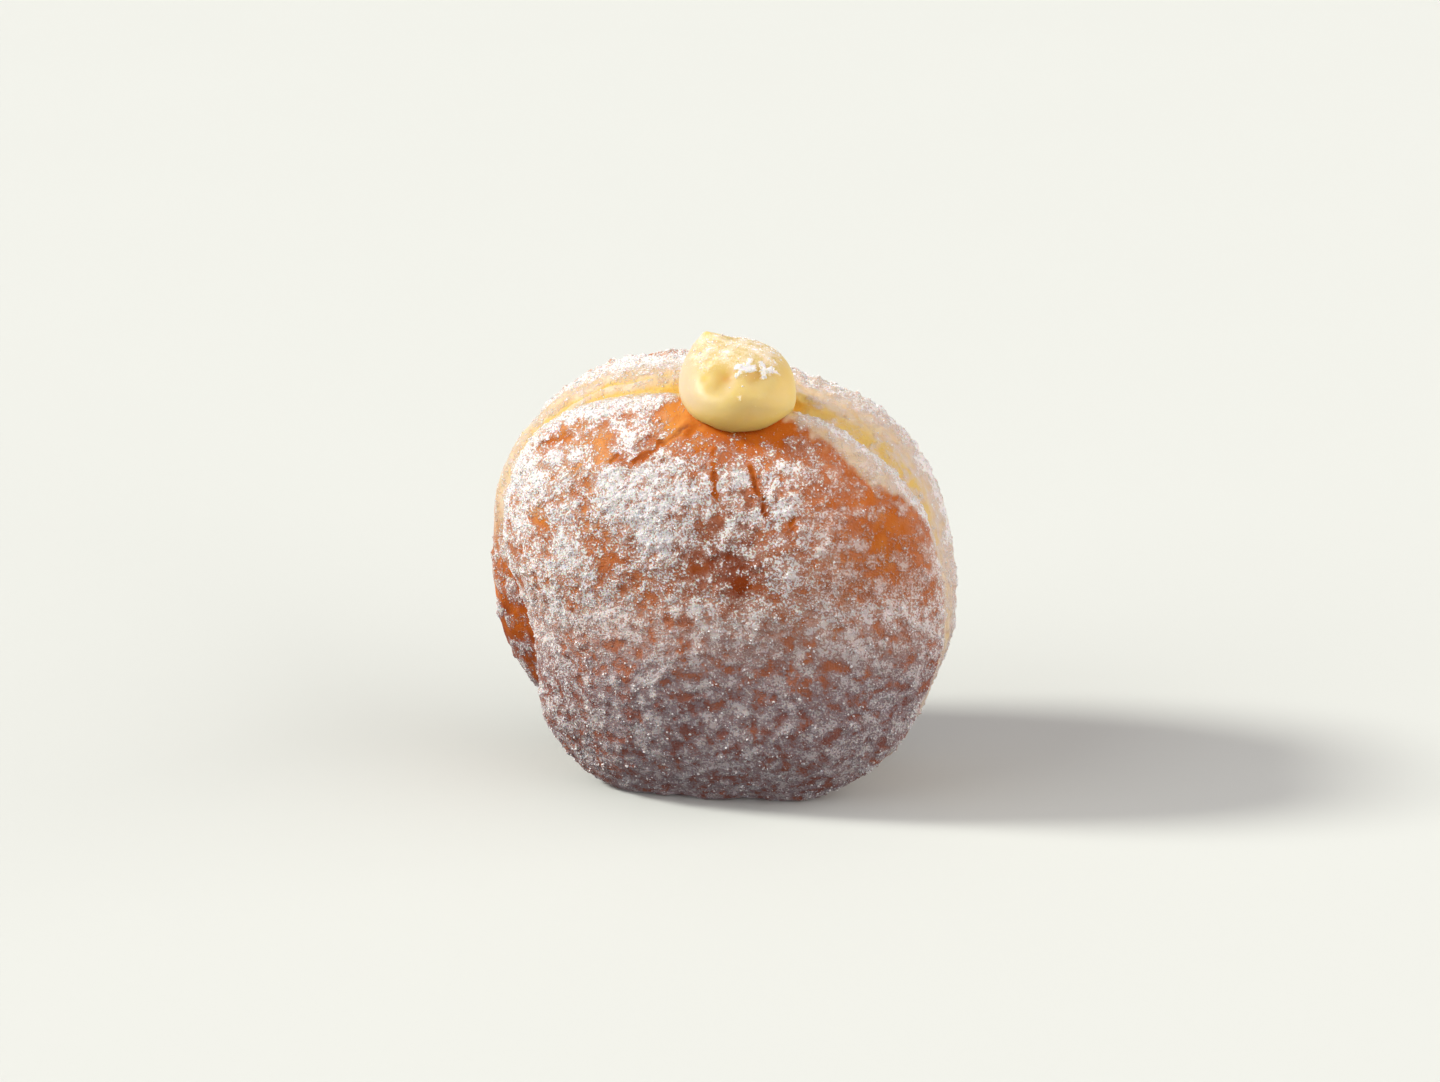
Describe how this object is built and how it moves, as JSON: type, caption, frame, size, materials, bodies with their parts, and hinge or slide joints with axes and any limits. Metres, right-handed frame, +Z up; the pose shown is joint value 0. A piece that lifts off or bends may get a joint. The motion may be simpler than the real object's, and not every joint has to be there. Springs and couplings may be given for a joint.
{
  "type": "custard doughnut",
  "caption": "Round filled doughnut standing on its edge, with a pale band round its rim and a dollop of custard at the piping hole on top.",
  "frame": {"origin": "on the table, under the middle of the doughnut's outline", "axes": "+Z up through the custard, Y along the doughnut's axis with the front face towards -Y, +X to the right of the front view"},
  "size_m": [0.091, 0.0588, 0.0893],
  "materials": {
    "dough": "orange-brown fried crust with a pale yellow band, dusted with fine white sugar",
    "custard": "smooth pale yellow custard with a soft gloss"
  },
  "bodies": {
    "root": {"dough": "dough", "custard": "custard"}
  },
  "joints": []
}
